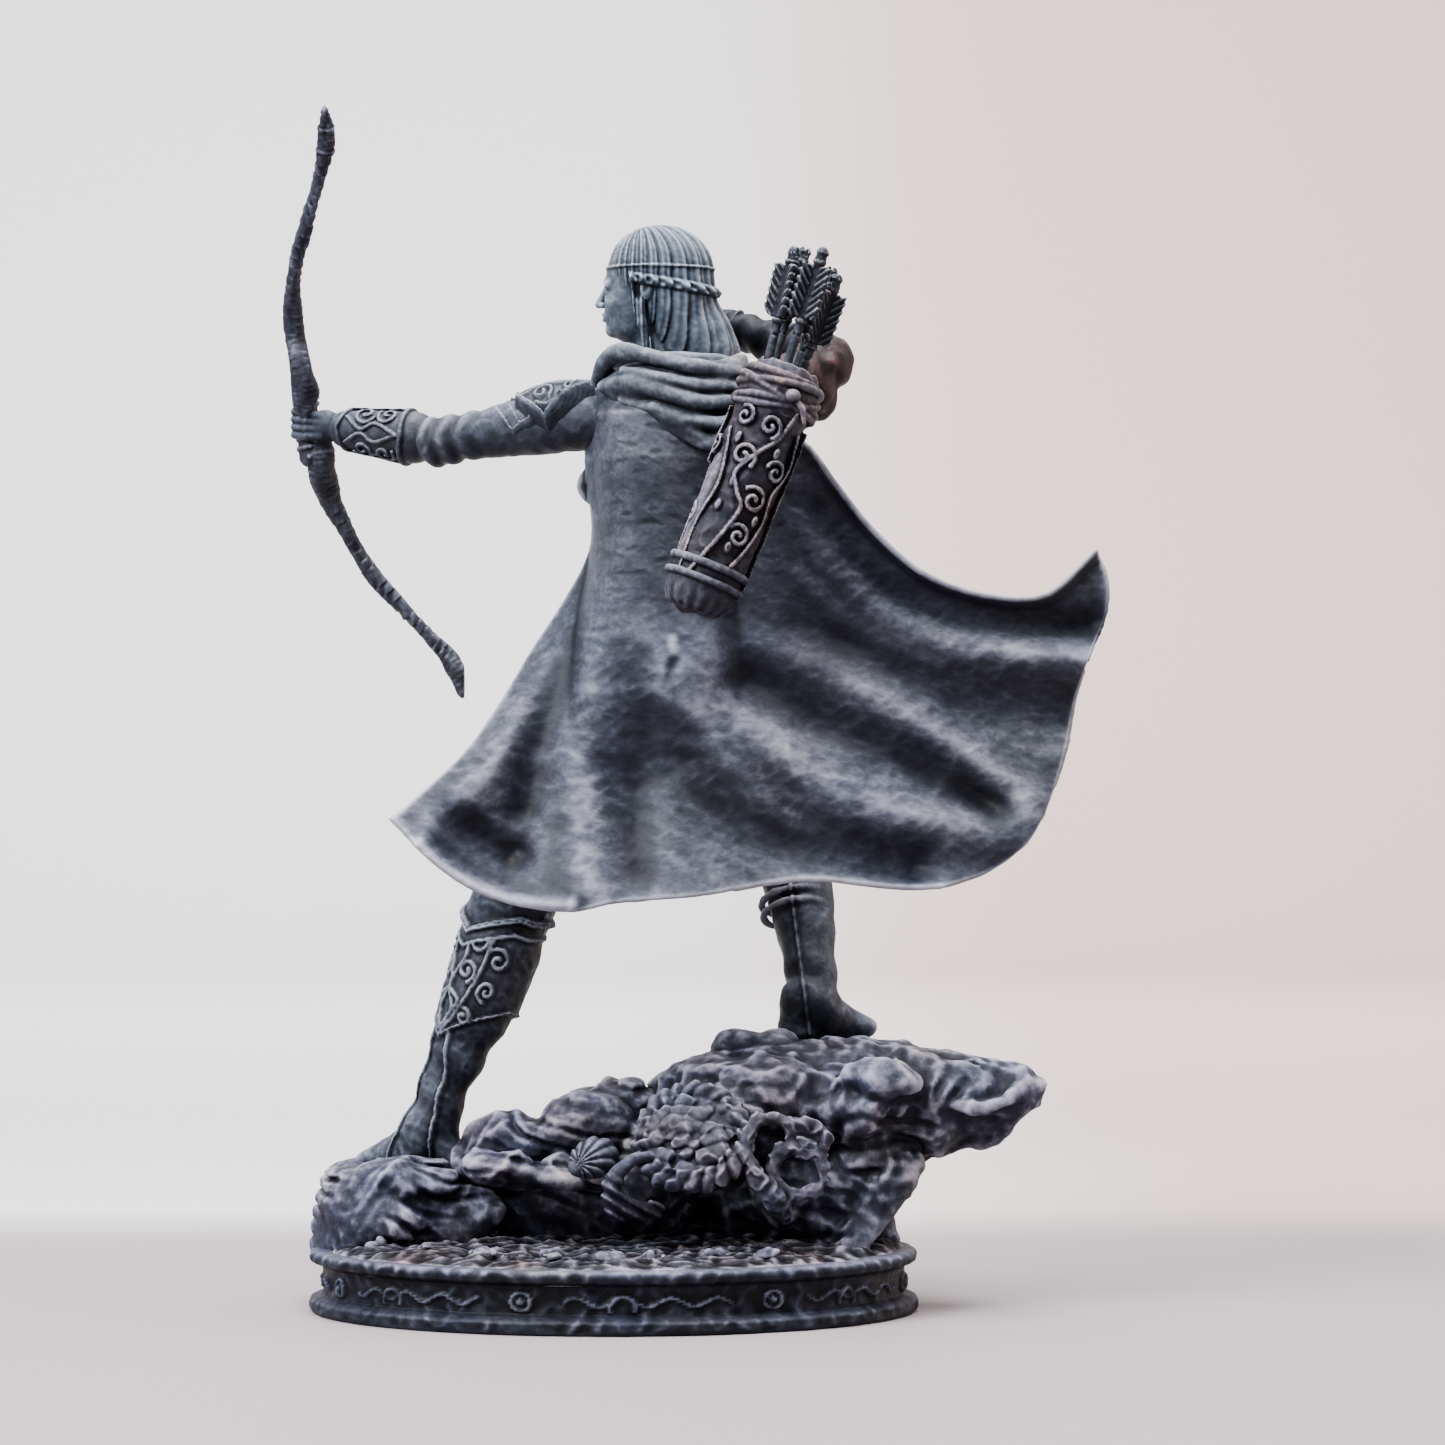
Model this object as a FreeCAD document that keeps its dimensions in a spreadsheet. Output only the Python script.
"""Painted archer figure on an oval plinth: a display casting in resin, pinned with brass wire.

The archer strides over rocks and holds a bow out towards -X and a little +Y, and the cloak streams towards +X.
Z is up, +Y is in front of the archer, and the origin is the centre of the plinth's underside. Units: mm.
"""
import FreeCAD, Part
import math
import os
import Sketcher
from FreeCAD import Placement, Rotation, Vector

UP = Vector(0, 0, 1)

# Driving dimensions, in millimetres and degrees.
DRIVING = {
    "stature": 85.0,
    "plinth_wide": 55.0,
    "plinth_deep": 39.0,
    "foot_tall": 1.1,
    "band_tall": 2.4,
    "slab_tall": 1.1,
    "band_inset": 0.8,
    "rim_round": 0.35,
    "pin_radius": 0.5,
    "fine_pin_radius": 0.28,
    "pin_play": 0.02,
    "cloak_thick": 1.3,
    "bow_length": 57.0,
    "bow_depth": 7.6,
    "bow_cant": 22.0,
    "bow_thick": 0.85,
    "tip_thick": 0.4,
    "quiver_long": 20.0,
    "quiver_radius": 3.3,
    "quiver_wall": 0.6,
    "arrow_long": 17.0,
    "shaft_radius": 0.35,
    "vane_wide": 1.0,
    "vane_long": 5.0,
    "vane_thick": 0.36,
}
ROW_OF_FIRST_CELL = 2

# Joint centres of the pose, for a stature of POSE_STATURE.
POSE_STATURE = 85.0
POSE = {
    "pelvis": (4.5, 2.0, 58.5),
    "waist": (5.0, 1.5, 67.5),
    "chest": (4.6, 1.8, 76.0),
    "neck": (4.3, 2.0, 83.6),
    "head": (4.0, 2.6, 92.2),
    "left_shoulder": (-2.4, 2.6, 80.6),
    "left_elbow": (-16.6, 6.8, 79.0),
    "left_wrist": (-24.4, 10.6, 80.4),
    "grip": (-28.0, 12.4, 80.8),
    "right_shoulder": (11.2, 1.4, 80.6),
    "right_elbow": (20.0, 6.6, 86.2),
    "right_wrist": (10.0, 10.0, 89.8),
    "right_palm": (6.4, 10.6, 90.0),
    "left_hip": (0.8, 2.6, 57.0),
    "left_knee": (-9.8, 5.6, 35.6),
    "left_ankle": (-16.6, 4.2, 16.8),
    "left_toe": (-23.2, 7.6, 12.4),
    "right_hip": (8.6, 2.0, 57.0),
    "right_knee": (15.4, 19.0, 44.6),
    "right_ankle": (17.6, 9.2, 27.2),
    "right_toe": (24.0, 11.6, 24.6),
}
AIM = Vector(-math.cos(math.radians(30)), math.sin(math.radians(30)), 0)
FACE = Vector(-math.cos(math.radians(12)), math.sin(math.radians(12)), 0)

doc = FreeCAD.newDocument("archer_figure")
sheet = doc.addObject("Spreadsheet::Sheet", "Dims")
for row, (alias, number) in enumerate(DRIVING.items(), ROW_OF_FIRST_CELL):
    sheet.set(f"A{row}", alias)
    sheet.set(f"B{row}", str(number))
    sheet.setAlias(f"B{row}", alias)
doc.recompute()

subparts = {}


def dim(alias):
    """The number in the cell of that alias."""
    return float(sheet.get(alias))


def at(name):
    """A joint's centre at the sheet's stature."""
    return Vector(*POSE[name]) * (dim("stature") / POSE_STATURE)


def share(fraction):
    """An expression for a length that is a share of the stature."""
    return f"Dims.stature * {fraction}"


def standing(point, direction, spin=0.0):
    """A placement at point, with its Z axis along direction."""
    return Placement(point, Rotation(UP, direction).multiply(Rotation(UP, spin)))


def framed(point, z_axis, x_axis):
    """A placement at point, with its Z axis along z_axis and its X axis as near to x_axis as that allows."""
    return Placement(point, Rotation(x_axis, Vector(), z_axis, "ZXY"))


def bound(kind, name, placement, **sizes):
    """A Part primitive whose sizes are expressions of the sheet's cells."""
    made = doc.addObject(f"Part::{kind}", name)
    for size, expression in sizes.items():
        made.setExpression(size, str(expression))
    made.Placement = placement
    return made


def fused(name, pieces):
    made = doc.addObject("Part::MultiFuse", name)
    made.Shapes = pieces
    return made


def cut(name, base, tools):
    """The base with the tools' shapes taken out of it, one after the other."""
    for index, tool in enumerate(tools, 1):
        less = doc.addObject("Part::Cut", f"{name}_less_{index}")
        less.Base = base
        less.Tool = tool
        base = less
    return base


def keep(label, made):
    """Registers a finished sub-part under the name of its file."""
    made.Label = label
    subparts[label] = made
    return made


def ball(name, centre, fraction, axis=UP):
    """A sphere with its poles on the axis."""
    return bound("Sphere", name, standing(centre, axis), Radius=share(fraction))


def egg(name, placement, wide, deep, tall):
    """An ellipsoid whose half sizes along the placement's X, Y and Z are shares of the stature."""
    return bound("Ellipsoid", name, placement, Radius1=share(tall), Radius2=share(wide), Radius3=share(deep))


def bar(name, start, end, first, last):
    """A cone between two points, with its end radii as shares of the stature."""
    made = bound("Cone", name, standing(start, end - start), Radius1=share(first), Radius2=share(last))
    made.Height = (end - start).Length
    return made


# Each pin: its centre, its direction and its length.
PIN = 5.0
SHORT_PIN = 3.4
FINE_PIN = 2.6


def bow_axis():
    """The direction from the bow's lower tip to its upper tip."""
    across = Vector(AIM.y, -AIM.x, 0)
    cant = math.radians(dim("bow_cant"))
    return UP * math.cos(cant) - across * math.sin(cant)


BOW_UP = bow_axis()
GRIP_HALF = 3.0
QUIVER_UP = Vector(7.6, 1.0, 18.4).normalize()
QUIVER_FOOT = Vector(7.9, -10.4, 65.4)
ROCK_REST = 6.0


def pin_places():
    """Where each pin sits, which way it points and how long it is."""
    thigh = (at("left_knee") - at("left_hip")).normalize()
    other_thigh = (at("right_knee") - at("right_hip")).normalize()
    left_arm = (at("left_elbow") - at("left_shoulder")).normalize()
    right_arm = (at("right_elbow") - at("right_shoulder")).normalize()
    forearm = (at("left_wrist") - at("left_elbow")).normalize()
    return {
        "neck_pin": (at("neck") + UP * 1.0, UP, SHORT_PIN),
        "waist_pin": (at("waist"), UP, PIN),
        "left_shoulder_pin": (at("left_shoulder") + left_arm * -3.0, left_arm, PIN),
        "right_shoulder_pin": (at("right_shoulder") + right_arm * -2.4, right_arm, PIN),
        "left_elbow_pin": (at("left_elbow") + forearm * 1.0, forearm, SHORT_PIN),
        "right_elbow_pin": (at("right_elbow") + Vector(-1.4, 0.4, 0.5), Vector(-10.0, 3.4, 3.6).normalize(), SHORT_PIN),
        "left_hip_pin": (at("left_hip") + thigh * 1.6, thigh, PIN),
        "right_hip_pin": (at("right_hip") + other_thigh * 1.6, other_thigh, PIN),
        "left_foot_pin": (at("left_ankle") - UP * 4.6, UP, PIN),
        "right_foot_pin": (at("right_ankle") - UP * 3.6, UP, PIN),
        "left_rock_pin": (Vector(-19.0, 3.0, ROCK_REST), UP, SHORT_PIN),
        "middle_rock_pin": (Vector(-3.0, 1.0, ROCK_REST), UP, SHORT_PIN),
        "ledge_pin": (Vector(14.0, 2.0, ROCK_REST), UP, SHORT_PIN),
        "quiver_pin": (QUIVER_FOOT + QUIVER_UP * 9.0 + Vector(0, 3.0, 0), Vector(0, 1, 0), FINE_PIN),
        "upper_limb_pin": (at("grip") + BOW_UP * GRIP_HALF, BOW_UP, FINE_PIN),
        "lower_limb_pin": (at("grip") - BOW_UP * GRIP_HALF, BOW_UP, FINE_PIN),
    }


bores = {}


def make_pins():
    """The brass pins, and for each the slightly wider bore that its castings get."""
    for name, (centre, direction, long) in pin_places().items():
        radius = "Dims.fine_pin_radius" if long == FINE_PIN else "Dims.pin_radius"
        foot = standing(centre - direction * (long / 2), direction)
        pin = bound("Cylinder", f"{name}_wire", foot, Radius=radius)
        pin.Height = long
        keep(name, pin)
        bore = bound("Cylinder", f"{name}_bore", foot, Radius=f"{radius} + Dims.pin_play")
        bore.Height = long
        bores[name] = bore


def bore(*names):
    return [bores[f"{name}_pin"] for name in names]


def sketch_on(body, role, name):
    """A sketch on one of the body's origin planes."""
    made = body.newObject("Sketcher::SketchObject", name)
    plane = next(feature for feature in body.Origin.OriginFeatures if feature.Role == role)
    made.AttachmentSupport = [(plane, "")]
    made.MapMode = "FlatFace"
    return made


def oval_pad(body, name, inset, start, tall):
    """Adds an oval slab to the body: inset from the plinth's outline, from one height up by another."""
    outline = sketch_on(body, "XY_Plane", f"{name}_outline")
    outline.AttachmentOffset = Placement(Vector(0, 0, sheet.evalExpression(start)), Rotation())
    outline.setExpression("AttachmentOffset.Base.z", start)
    wide = f"Dims.plinth_wide / 2 - {inset}"
    deep = f"Dims.plinth_deep / 2 - {inset}"
    half_wide = float(sheet.evalExpression(wide))
    half_deep = float(sheet.evalExpression(deep))
    oval = Part.Ellipse(Vector(), half_wide, half_deep)
    outline.addGeometry(oval, False)
    outline.addConstraint(Sketcher.Constraint("Coincident", 0, 3, -1, 1))
    outline.exposeInternalGeometry(0)
    major, minor = 1, 2
    outline.addConstraint(Sketcher.Constraint("Horizontal", major))
    for line, size in ((major, wide), (minor, deep)):
        length = (outline.Geometry[line].EndPoint - outline.Geometry[line].StartPoint).Length
        index = outline.addConstraint(Sketcher.Constraint("Distance", line, length))
        outline.setExpression(f"Constraints[{index}]", f"2 * ({size})")
    slab = body.newObject("PartDesign::Pad", name)
    slab.Profile = outline
    slab.setExpression("Length", tall)
    doc.recompute()
    return slab


def make_plinth():
    """An oval plinth: a foot moulding, a recessed band, and a rim moulding above it."""
    body = doc.addObject("PartDesign::Body", "plinth_body")
    oval_pad(body, "foot_moulding", "0", "0", "Dims.foot_tall")
    oval_pad(body, "frieze_band", "Dims.band_inset", "Dims.foot_tall", "Dims.band_tall")
    top = oval_pad(body, "rim_moulding", "0", "Dims.foot_tall + Dims.band_tall", "Dims.slab_tall")
    height = top.Shape.BoundBox.ZMax
    levels = (dim("foot_tall"), dim("foot_tall") + dim("band_tall"), height)
    wide = dim("plinth_wide")
    edges = []
    for index, edge in enumerate(top.Shape.Edges, 1):
        box = edge.BoundBox
        outer = abs(box.XLength - wide) < 0.01 and box.ZLength < 0.01
        if outer and any(abs(box.ZMax - level) < 0.01 for level in levels):
            edges.append(f"Edge{index}")
    rounded = body.newObject("PartDesign::Fillet", "rim_rounding")
    rounded.Base = (top, edges)
    rounded.setExpression("Radius", "Dims.rim_round")
    doc.recompute()
    return body


def make_groundwork():
    """A low mound of earth on the plinth's top."""
    top = "Dims.foot_tall + Dims.band_tall + Dims.slab_tall"
    height = float(sheet.evalExpression(top))
    mound = egg("mound", Placement(Vector(0, 0, height), Rotation()), 0.307, 0.215, 0.022)
    below = bound("Box", "mound_below", Placement(Vector(-50, -50, height - 50), Rotation()))
    below.Length, below.Width, below.Height = 100, 100, 50
    return cut("mound_upper", mound, [below])


def block(name, centre, size, azimuth, tilt, roll=0.0):
    """A rock slab with its own size, turned about Z, tilted about its own Y and rolled about its own X."""
    wide, deep, tall = size
    made = doc.addObject("Part::Wedge", name)
    taper_x, taper_y = 0.12 * wide, 0.14 * deep
    made.Xmin, made.Xmax = -wide / 2, wide / 2
    made.Ymin, made.Ymax = -tall / 2, tall / 2
    made.Zmin, made.Zmax = -deep / 2, deep / 2
    made.X2min, made.X2max = -wide / 2 + taper_x, wide / 2 - taper_x
    made.Z2min, made.Z2max = -deep / 2 + taper_y, deep / 2 - taper_y
    stand = Rotation(Vector(1, 0, 0), 90)
    turn = Rotation(UP, azimuth).multiply(Rotation(Vector(0, 1, 0), tilt)).multiply(Rotation(Vector(1, 0, 0), roll))
    made.Placement = Placement(Vector(*centre), turn.multiply(stand))
    return made


# Rock slabs: centre, size, azimuth, tilt and roll.
LEFT_SLABS = (
    ((-19.6, 2.8, 7.6), (12.0, 12.0, 7.0), 12, 3, 4),
    ((-19.4, 4.0, 10.6), (10.0, 9.0, 4.2), 35, -8, -6),
    ((-16.0, 3.2, 10.4), (6.0, 7.0, 4.6), -20, 12, 8),
)
MIDDLE_SLABS = (
    ((-3.0, 0.8, 9.6), (16.0, 15.0, 10.0), 8, 4, 3),
    ((-6.6, -1.0, 12.4), (9.0, 9.0, 8.0), 30, -14, 12),
    ((0.4, 2.4, 15.6), (10.0, 11.0, 8.0), -24, 10, -8),
)
LEDGE_SLABS = (
    ((13.6, 0.4, 10.4), (17.0, 17.0, 13.0), -6, 2, 2),
    ((14.6, 5.0, 18.8), (21.0, 19.0, 9.4), 14, -3, 3),
    ((8.6, -1.0, 15.0), (8.0, 11.0, 12.0), 24, -6, 5),
    ((25.4, 7.0, 19.2), (17.0, 13.0, 7.8), -10, 4, -5),
    ((32.6, 5.4, 18.8), (12.0, 7.4, 5.0), 6, 12, 9),
)


def heap(name, slabs):
    return fused(name, [block(f"{name}_slab_{index}", *slab) for index, slab in enumerate(slabs, 1)])


def disc_frame():
    """Where the fallen disc lies: propped on the heap, its face turned out and up."""
    return standing(Vector(7.2, -8.4, 15.6), Vector(0.05, -0.86, 0.5))


def make_disc():
    """A round disc with a rolled rim and a domed boss."""
    place = disc_frame()
    plate = bound("Cylinder", "disc_plate", place, Radius=share(0.047), Height=share(0.009))
    rim = bound("Torus", "disc_rim", place, Radius1=share(0.047), Radius2=share(0.0075))
    dome = bound("Sphere", "disc_dome", place, Radius=share(0.018))
    return fused("disc_blank", [plate, rim, dome])


def make_ring():
    """A plain ring that leans on the ledge."""
    place = standing(Vector(16.4, -9.0, 13.6), Vector(0.2, -0.8, 0.56))
    return bound("Torus", "ring_blank", place, Radius1=share(0.031), Radius2=share(0.0085))


def make_boss():
    """A small domed boss with eight flutes round it."""
    centre = Vector(-1.6, -8.2, 14.4)
    dome = ball("boss_dome", centre, 0.022)
    flutes = []
    count = 8
    for index in range(count):
        angle = 360 * index / count
        out = Rotation(UP, angle).multVec(Vector(dim("stature") * 0.0235, 0, 0))
        flute = bound("Cylinder", f"boss_flute_{index}", Placement(centre + out - UP * 3, Rotation()),
                      Radius=share(0.0052), Height=6)
        flutes.append(flute)
    return cut("boss_fluted", dome, flutes)


def make_horn():
    """A horn in three tapering joints that bend upwards."""
    points = [Vector(3.4, -7.6, 9.6), Vector(1.6, -9.6, 10.8), Vector(0.2, -10.6, 12.8), Vector(0.0, -10.4, 15.0)]
    girths = [0.016, 0.013, 0.009, 0.003]
    pieces = []
    for index in range(3):
        pieces.append(bar(f"horn_joint_{index}", points[index], points[index + 1], girths[index], girths[index + 1]))
        pieces.append(ball(f"horn_knuckle_{index}", points[index], girths[index] * 1.02))
    return fused("horn_blank", pieces)


STONE_COUNT = 8


def make_stones():
    """Loose stones bedded in the ground, set out on an oval inside the plinth's outline."""
    top = dim("foot_tall") + dim("band_tall") + dim("slab_tall")
    stones = []
    for index in range(STONE_COUNT):
        angle = math.radians(198 + 16 * index)
        size = 1.7 + 0.4 * math.sin(2.3 * index)
        spot = (22.4 * math.cos(angle), 15.2 * math.sin(angle), top + 0.9)
        stones.append(block(f"stone_{index}", spot, (size * 1.5, size * 1.2, size), 40 * index, 8, -6))
    return stones


def make_left_leg():
    """A straight leg that carries the stride: thigh, greave with a flared top, and boot."""
    hip, knee, ankle, toe = at("left_hip"), at("left_knee"), at("left_ankle"), at("left_toe")
    return fused("left_leg_blank", [
        ball("left_hip_ball", hip, 0.046),
        bar("left_thigh", hip, knee, 0.045, 0.031),
        ball("left_knee_ball", knee, 0.034),
        bar("left_shin", knee, ankle, 0.033, 0.0215),
        ball("left_ankle_ball", ankle, 0.024),
        bar("left_instep", ankle, toe, 0.023, 0.012),
        ball("left_toe_ball", toe, 0.0125),
        bar("left_heel", ankle, ankle + Vector(1.0, -0.6, -3.0), 0.023, 0.018),
    ])


def make_right_leg():
    """A bent leg: the thigh comes forward, the shin goes back down to a boot that points to +X."""
    hip, knee, ankle, toe = at("right_hip"), at("right_knee"), at("right_ankle"), at("right_toe")
    return fused("right_leg_blank", [
        ball("right_hip_ball", hip, 0.046),
        bar("right_thigh", hip, knee, 0.045, 0.033),
        ball("right_knee_ball", knee, 0.035),
        bar("right_shin", knee, ankle, 0.034, 0.022),
        ball("right_ankle_ball", ankle, 0.024),
        bar("right_instep", ankle, toe, 0.023, 0.0125),
        ball("right_toe_ball", toe, 0.013),
        bar("right_heel", ankle, ankle + Vector(-1.0, -0.2, -2.8), 0.023, 0.019),
    ])


def make_torso():
    """Chest, waist and the flared skirt of the tunic."""
    chest, waist, pelvis, neck = at("chest"), at("waist"), at("pelvis"), at("neck")
    hem = pelvis - UP * 8.5
    return fused("torso_blank", [
        egg("rib_cage", Placement(chest, Rotation(UP, -6)), 0.092, 0.056, 0.092),
        bar("midriff", chest, waist, 0.068, 0.054),
        bar("hips", waist, pelvis, 0.054, 0.074),
        bar("skirt", pelvis, hem, 0.074, 0.094),
        bar("neck_root", chest + UP * 3, neck, 0.06, 0.028),
    ])


def make_head():
    """Skull, jaw, neck and the mass of long hair that falls on the right shoulder."""
    head, neck = at("head"), at("neck")
    gaze = math.degrees(math.atan2(FACE.y, FACE.x))
    skull = egg("skull", Placement(head + UP * 0.6, Rotation(UP, gaze)), 0.060, 0.052, 0.056)
    jaw = egg("jaw", Placement(head + FACE * 1.6 - UP * 2.4, Rotation(UP, gaze)), 0.036, 0.034, 0.040)
    hair = egg("hair", framed(head + Vector(3.9, -1.4, -3.6), Vector(-0.5, 0, 1), Vector(1, 0, 0.5)), 0.030, 0.040, 0.062)
    throat = bar("throat", neck - UP * 0.6, head, 0.028, 0.026)
    return fused("head_blank", [skull, jaw, hair, throat])


def make_hood():
    """A cowl of folded cloth round the neck, with a point that hangs on the back."""
    neck = at("neck")
    collar = bound("Torus", "cowl_roll", standing(neck + Vector(0.6, -0.6, -0.4), Vector(0.1, 0.16, 1)),
                   Radius1=share(0.062), Radius2=share(0.028))
    point = egg("hood_point", standing(neck + Vector(2.6, -5.6, -4.2), Vector(0.25, 0.1, 1)), 0.062, 0.024, 0.052)
    lappet = egg("hood_lappet", standing(neck + Vector(6.0, -1.6, -1.2), Vector(-0.6, 0, 1)), 0.030, 0.040, 0.040)
    return fused("hood_blank", [collar, point, lappet])


def make_left_upper_arm():
    shoulder, elbow = at("left_shoulder"), at("left_elbow")
    return fused("left_upper_arm_blank", [
        ball("left_deltoid", shoulder, 0.036),
        bar("left_humerus", shoulder, elbow, 0.034, 0.024),
        ball("left_elbow_ball", elbow, 0.0275, elbow - shoulder),
    ])


def make_left_forearm():
    """Bracer and closed fist."""
    elbow, wrist, grip = at("left_elbow"), at("left_wrist"), at("grip")
    along = wrist - elbow
    return fused("left_forearm_blank", [
        bar("left_bracer", elbow, wrist, 0.025, 0.0215),
        ball("left_wrist_ball", wrist, 0.0235, along),
        bar("left_knuckles", wrist, grip, 0.019, 0.023),
        ball("left_fist", grip, 0.0275, along),
    ])


def make_pauldron():
    """A shoulder guard that wraps the upper arm."""
    shoulder, elbow = at("left_shoulder"), at("left_elbow")
    along = (elbow - shoulder).normalize()
    centre = shoulder + along * 3.4 + UP * 0.9
    return egg("pauldron_blank", framed(centre, along, UP), 0.049, 0.048, 0.074)


def make_right_upper_arm():
    shoulder, elbow = at("right_shoulder"), at("right_elbow")
    return fused("right_upper_arm_blank", [
        ball("right_deltoid", shoulder, 0.038),
        bar("right_humerus", shoulder, elbow, 0.036, 0.03),
        ball("right_elbow_ball", elbow, 0.0325, elbow - shoulder),
        egg("sleeve_drop", Placement(elbow + Vector(-0.4, -0.8, -3.2), Rotation()), 0.022, 0.026, 0.046),
    ])


def make_right_forearm():
    elbow, wrist, palm = at("right_elbow"), at("right_wrist"), at("right_palm")
    along = wrist - elbow
    return fused("right_forearm_blank", [
        bar("right_ulna", elbow, wrist, 0.028, 0.0195),
        ball("right_wrist_ball", wrist, 0.0215, along),
        bar("right_hand_bar", wrist, palm, 0.018, 0.017),
        ball("right_hand_ball", palm, 0.020, along),
    ])


# The bow: how its belly stands off the line between its tips, and how far the grip is up that line.
BELLY_POWER = 1.2
TIP_FLICK = 1.1
GRIP_SETBACK = 1.8
UPPER_SHARE = 0.523
LIMB_STEPS = 7


def limb_point(side, along):
    """A point on the bow's limb: side is +1 up or -1 down, along goes from 0 at the grip to 1 at the tip."""
    reach = dim("bow_length") * (UPPER_SHARE if side > 0 else 1 - UPPER_SHARE)
    depth = dim("bow_depth") + GRIP_SETBACK
    belly = depth * (1 - along ** 2) ** BELLY_POWER + TIP_FLICK * along ** 6
    chord = at("grip") - AIM * dim("bow_depth")
    return chord + BOW_UP * (side * reach * along) + AIM * belly


def make_limb(side, name):
    """A tapering limb lofted through ellipses that stand square to its curve."""
    reach = dim("bow_length") * (UPPER_SHARE if side > 0 else 1 - UPPER_SHARE)
    start = GRIP_HALF / reach
    sections = []
    for step in range(LIMB_STEPS):
        along = start + (1 - start) * step / (LIMB_STEPS - 1)
        ahead = limb_point(side, min(along + 0.01, 1.0)) - limb_point(side, along - 0.01)
        thick = dim("bow_thick") + (dim("tip_thick") - dim("bow_thick")) * along
        flat = AIM.cross(BOW_UP)
        place = framed(limb_point(side, along), ahead.normalize(), flat)
        section = doc.addObject("Part::Ellipse", f"{name}_section_{step}")
        section.MajorRadius, section.MinorRadius = thick * 1.25, thick
        section.Placement = place
        sections.append(section)
    limb = doc.addObject("Part::Loft", f"{name}_loft")
    limb.Sections = sections
    limb.Solid = True
    return limb


def make_grip():
    """The bow's riser, which the fist closes on."""
    first = limb_point(-1, GRIP_HALF / (dim("bow_length") * (1 - UPPER_SHARE)))
    last = limb_point(1, GRIP_HALF / (dim("bow_length") * UPPER_SHARE))
    middle = at("grip")
    return fused("grip_blank", [
        bar("grip_lower", first, middle, 0.0125, 0.0115),
        ball("grip_middle", middle, 0.0118),
        bar("grip_upper", middle, last, 0.0115, 0.0125),
    ])


ARROW_COUNT = 5


def make_quiver():
    """A tube bored down from its mouth for the arrows."""
    outer = bound("Cylinder", "quiver_outer", standing(QUIVER_FOOT, QUIVER_UP),
                  Radius="Dims.quiver_radius", Height="Dims.quiver_long")
    inner = bound("Cylinder", "quiver_inner", standing(QUIVER_FOOT + QUIVER_UP * (dim("quiver_long") - 6), QUIVER_UP),
                  Radius="Dims.quiver_radius - Dims.quiver_wall", Height="Dims.quiver_long")
    return cut("quiver_tube", outer, [inner] + bore("quiver"))


def make_quiver_cap():
    """The base cap: a ring, and a cone that ends in a blunt point."""
    ring = bound("Cone", "cap_ring", standing(QUIVER_FOOT - QUIVER_UP * 1.2, QUIVER_UP),
                 Radius1="Dims.quiver_radius * 0.9", Radius2="Dims.quiver_radius * 1.08", Height="1.2")
    cone = bound("Cone", "cap_cone", standing(QUIVER_FOOT - QUIVER_UP * 3.4, QUIVER_UP),
                 Radius1="Dims.quiver_radius * 0.4", Radius2="Dims.quiver_radius * 0.9", Height="2.2")
    return fused("cap_blank", [ring, cone])


def make_quiver_collar():
    """The ring round the quiver's mouth."""
    place = standing(QUIVER_FOOT + QUIVER_UP * (dim("quiver_long") - 2.4), QUIVER_UP)
    outer = bound("Cylinder", "collar_outer", place, Radius="Dims.quiver_radius + 0.55", Height="1.8")
    inner = bound("Cylinder", "collar_inner", place, Radius="Dims.quiver_radius", Height="1.8")
    return cut("collar_blank", outer, [inner])


def make_arrow(index):
    """A shaft that stands on the floor of the quiver's bore, with three vanes near its nock."""
    turn = 360 * index / ARROW_COUNT + 20
    out = Rotation(QUIVER_UP, turn).multVec(QUIVER_UP.cross(Vector(0, 1, 0)).normalize())
    foot = QUIVER_FOOT + QUIVER_UP * (dim("quiver_long") - 6) + out * 1.3
    lean = (QUIVER_UP * 10 + out * 0.75 + Vector(0.5, 0, 0.3)).normalize()
    long = dim("arrow_long") + 0.8 * math.sin(2.1 * index)
    shaft = bound("Cylinder", f"arrow_{index}_shaft", standing(foot, lean), Radius="Dims.shaft_radius")
    shaft.Height = long
    pieces = [shaft]
    vane_foot = foot + lean * (long - dim("vane_long") - 0.7)
    for vane_index in range(3):
        place = standing(vane_foot, lean, 120 * vane_index + 31 * index)
        offset = place.Rotation.multVec(Vector(0, -dim("vane_thick") / 2, 0))
        vane = bound("Box", f"arrow_{index}_vane_{vane_index}", Placement(vane_foot + offset, place.Rotation),
                     Length="Dims.vane_wide", Width="Dims.vane_thick", Height="Dims.vane_long")
        pieces.append(vane)
    return fused(f"arrow_{index}_blank", pieces)


# The cloak's outline: four borders that share their corners, each with its points in order.
CLOAK_TOP = ((-2.6, -4.6, 77.0), (5.0, -5.2, 76.4), (13.0, -5.0, 76.4), (19.4, -4.4, 73.2), (26.0, -4.2, 67.4),
             (34.6, -3.6, 65.0), (43.6, -1.6, 67.6))
CLOAK_BOTTOM = ((-18.8, -11.5, 43.6), (-12.2, -11.0, 39.2), (-4.0, -10.0, 36.6), (8.0, -9.2, 37.6),
                (20.4, -9.6, 38.8), (29.0, -8.0, 38.6), (36.8, -5.0, 42.0))
CLOAK_LEFT = ((-2.6, -4.6, 77.0), (-2.4, -5.0, 69.0), (-6.6, -7.0, 59.0), (-11.0, -9.0, 48.6), (-18.8, -11.5, 43.6))
CLOAK_RIGHT = ((43.6, -1.6, 67.6), (43.8, -2.4, 61.6), (41.4, -3.6, 54.6), (39.4, -4.6, 48.0), (36.8, -5.0, 42.0))
CLOAK_ACROSS = 33
CLOAK_DOWN = 17
CLOAK_FOLDS = 7


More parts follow.
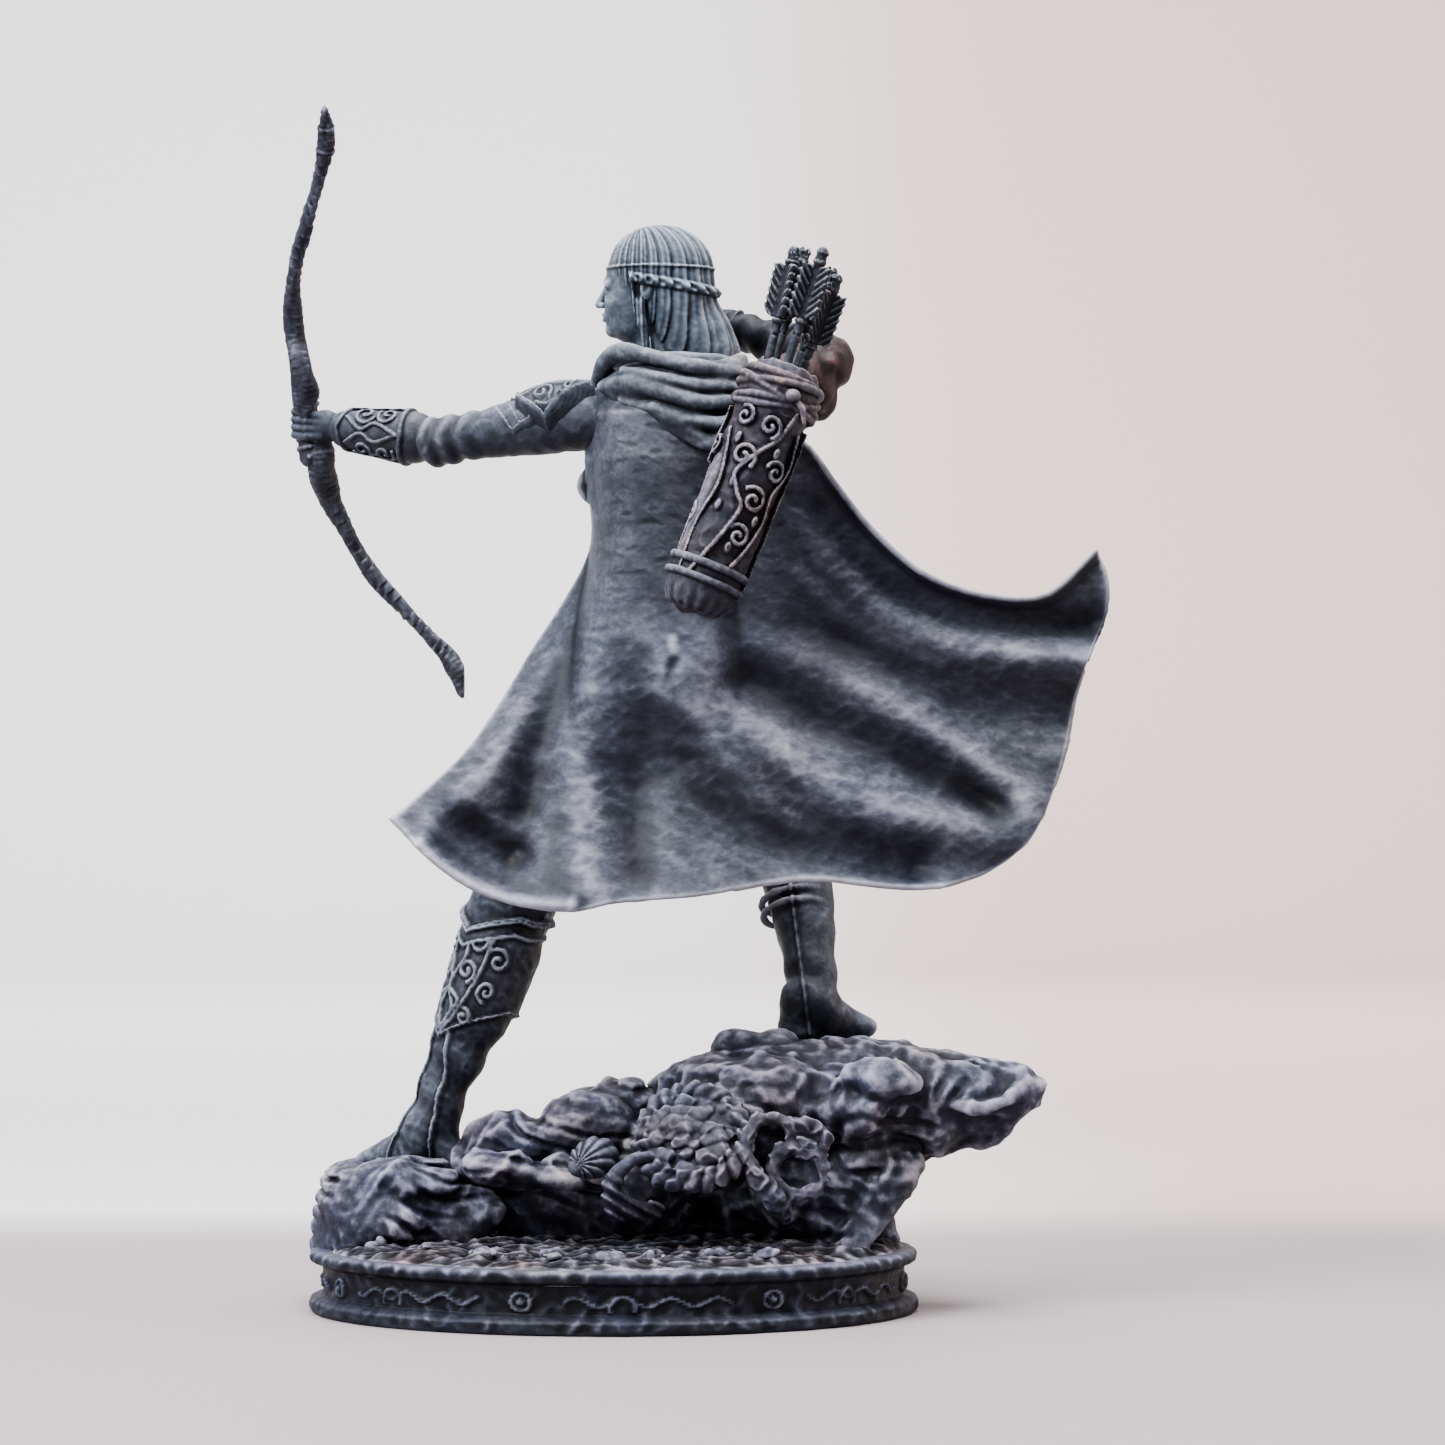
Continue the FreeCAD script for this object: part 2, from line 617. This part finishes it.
def border(points):
    """A smooth curve through a border's points, as a function of 0 to 1."""
    curve = Part.BSplineCurve()
    curve.interpolate([Vector(*point) for point in points])
    first, last = curve.FirstParameter, curve.LastParameter
    return lambda part: curve.value(first + (last - first) * part)


def make_cloak():
    """A thick sheet stretched between its four borders, with folds that deepen towards the hem."""
    top, bottom, left, right = (border(points) for points in (CLOAK_TOP, CLOAK_BOTTOM, CLOAK_LEFT, CLOAK_RIGHT))
    front, back = [], []
    for row in range(CLOAK_DOWN):
        v = row / (CLOAK_DOWN - 1)
        front_row, back_row = [], []
        for column in range(CLOAK_ACROSS):
            u = column / (CLOAK_ACROSS - 1)
            ruled = top(u) * (1 - v) + bottom(u) * v + left(v) * (1 - u) + right(v) * u
            corners = (top(0) * (1 - u) + top(1) * u) * (1 - v) + (bottom(0) * (1 - u) + bottom(1) * u) * v
            wave = math.sin(2 * math.pi * CLOAK_FOLDS * u)
            fold = Vector(0, wave * (0.15 + 1.0 * v) - 2.2 * math.sin(math.pi * v) * math.sin(math.pi * u), 0)
            point = ruled - corners + fold
            front_row.append(point)
            back_row.append(point + Vector(0, dim("cloak_thick"), 0))
        front.append(front_row)
        back.append(back_row)
    near, far = Part.BSplineSurface(), Part.BSplineSurface()
    near.interpolate(front)
    far.interpolate(back)
    faces = [near.toShape(), far.toShape()]
    bounds = zip(edge_curves(near), edge_curves(far))
    faces += [Part.makeRuledSurface(first, second) for first, second in bounds]
    shell = Part.makeShell(faces)
    shell.sewShape()
    solid = Part.makeSolid(shell)
    solid.fix(1e-4, 1e-4, 1e-3)
    if solid.Volume < 0:
        solid.reverse()
    made = doc.addObject("Part::Feature", "cloak_sheet")
    made.Shape = solid
    return made


def edge_curves(surface):
    """The surface's four edges, in a fixed order."""
    u0, u1, v0, v1 = surface.bounds()
    return [surface.uIso(u0).toShape(), surface.uIso(u1).toShape(), surface.vIso(v0).toShape(),
            surface.vIso(v1).toShape()]


def build():
    """Makes every sub-part, seating each on the ones that it is glued to."""
    make_pins()
    plinth = make_plinth()
    rock_pins = bore("left_rock", "middle_rock", "ledge")
    left_leg, right_leg = make_left_leg(), make_right_leg()
    torso, head, hood = make_torso(), make_head(), make_hood()
    left_arm, right_arm = make_left_upper_arm(), make_right_upper_arm()
    left_forearm, right_forearm = make_left_forearm(), make_right_forearm()
    ground = make_groundwork()
    left_rock, middle_rock, ledge = (heap("left_rock", LEFT_SLABS), heap("middle_rock", MIDDLE_SLABS),
                                     heap("ledge", LEDGE_SLABS))
    disc, ring, boss, horn = make_disc(), make_ring(), make_boss(), make_horn()
    grip, cloak, quiver = make_grip(), make_cloak(), make_quiver()

    keep("plinth", cut("plinth", plinth, rock_pins))
    keep("groundwork", cut("groundwork", ground, rock_pins))
    base = [plinth, ground]
    keep("left_boulder", cut("left_boulder", left_rock, base + [left_leg] + bore("left_rock", "left_foot")))
    keep("rock_ledge", cut("rock_ledge", ledge, base + [right_leg] + bore("ledge", "right_foot")))
    keep("middle_rocks", cut("middle_rocks", middle_rock, base + [ledge, left_rock] + bore("middle_rock")))
    heaps = [middle_rock, ledge]
    keep("fallen_disc", cut("fallen_disc", disc, heaps))
    keep("fallen_ring", cut("fallen_ring", ring, heaps))
    keep("fluted_boss", cut("fluted_boss", boss, heaps + [disc]))
    keep("curved_horn", cut("curved_horn", horn, heaps + [disc, boss]))
    stones = doc.addObject("Part::Compound", "stones_all")
    stones.Links = [cut(f"stone_seat_{index}", stone, base) for index, stone in enumerate(make_stones())]
    keep("loose_stones", stones)

    keep("left_leg", cut("left_leg", left_leg, bore("left_hip", "left_foot")))
    keep("right_leg", cut("right_leg", right_leg, [left_leg] + bore("right_hip", "right_foot")))
    keep("torso", cut("torso", torso, [left_leg, right_leg, left_arm, right_arm, head]
                      + bore("waist", "neck", "left_shoulder", "right_shoulder", "left_hip", "right_hip")))
    keep("head", cut("head", head, bore("neck")))
    keep("left_upper_arm", cut("left_upper_arm", left_arm, bore("left_shoulder", "left_elbow")))
    keep("left_forearm", cut("left_forearm", left_forearm, [left_arm, grip] + bore("left_elbow")))
    pauldron = make_pauldron()
    keep("left_pauldron", cut("left_pauldron", pauldron, [left_arm, torso, hood, head]))
    keep("right_upper_arm", cut("right_upper_arm", right_arm, [head] + bore("right_shoulder", "right_elbow")))
    keep("right_forearm", cut("right_forearm", right_forearm, [right_arm, head] + bore("right_elbow")))
    keep("hood", cut("hood", hood, [torso, head, left_arm, right_arm, cloak, quiver] + bore("neck")))
    quiver_cap = make_quiver_cap()
    keep("cloak", cut("cloak", cloak, [torso, left_leg, right_leg, right_arm, quiver, quiver_cap] + bore("quiver")))

    keep("bow_grip", cut("bow_grip", grip, bore("upper_limb", "lower_limb")))
    keep("bow_upper_limb", cut("bow_upper_limb", make_limb(1, "upper_limb"), [grip] + bore("upper_limb")))
    keep("bow_lower_limb", cut("bow_lower_limb", make_limb(-1, "lower_limb"), [grip] + bore("lower_limb")))
    keep("quiver", quiver)
    keep("quiver_cap", quiver_cap)
    keep("quiver_collar", make_quiver_collar())
    for index in range(ARROW_COUNT):
        keep(f"arrow_{index + 1}", make_arrow(index))


def check():
    """Stops if any object failed, or any sub-part isn't a valid solid."""
    doc.recompute()
    for item in doc.Objects:
        if "Invalid" in item.State or "Error" in item.State:
            raise RuntimeError(f"{item.Name} failed: {item.State}")
    for label, item in subparts.items():
        shape = item.Shape
        if shape.isNull() or not shape.isValid() or not shape.Solids:
            raise RuntimeError(f"{label} has no valid solid")


def write():
    os.makedirs("parts", exist_ok=True)
    for label, item in subparts.items():
        item.Shape.exportStep(f"parts/{label}.step")
        print(f"{label}: {len(item.Shape.Solids)} solids, {item.Shape.Volume:.1f} mm3")


build()
check()
write()
